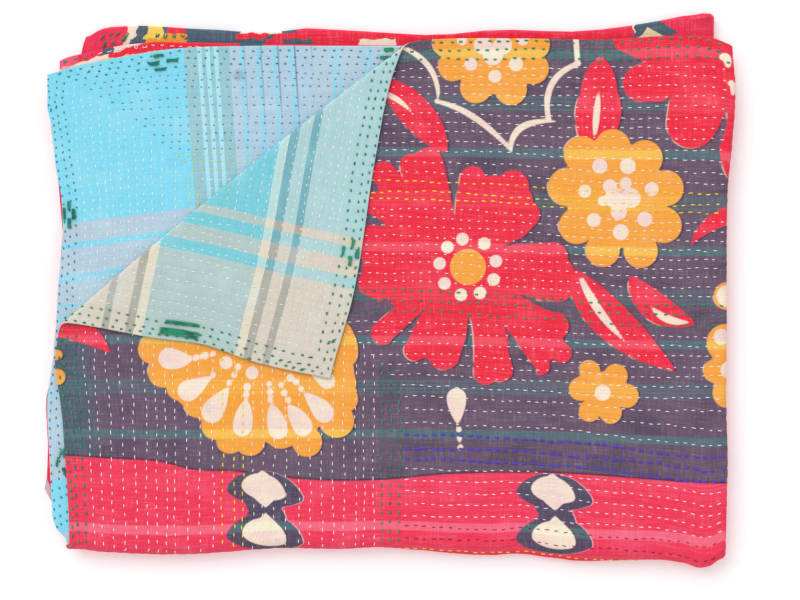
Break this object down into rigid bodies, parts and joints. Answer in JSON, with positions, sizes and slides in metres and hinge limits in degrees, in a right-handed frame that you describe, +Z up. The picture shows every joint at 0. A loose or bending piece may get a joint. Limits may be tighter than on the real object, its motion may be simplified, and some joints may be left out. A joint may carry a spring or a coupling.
{
  "type": "throw blanket",
  "caption": "Hand-quilted cotton throw with a printed face and a checked back, folded flat into a rectangular pile with one corner turned back.",
  "frame": {"origin": "middle of the folded throw's footprint, on the surface that it rests on", "axes": "+X along the longer side of the pile, towards the side fold; +Y towards the edge where the hems lie; +Z up through the layers"},
  "size_m": [0.782, 0.6226, 0.0328],
  "materials": {
    "printed_cotton": "soft washed cotton with a printed pattern, matte",
    "checked_cotton": "soft washed cotton with a woven check, matte"
  },
  "bodies": {
    "root": {"printed_face": "printed_cotton", "checked_back": "checked_cotton"}
  },
  "joints": []
}
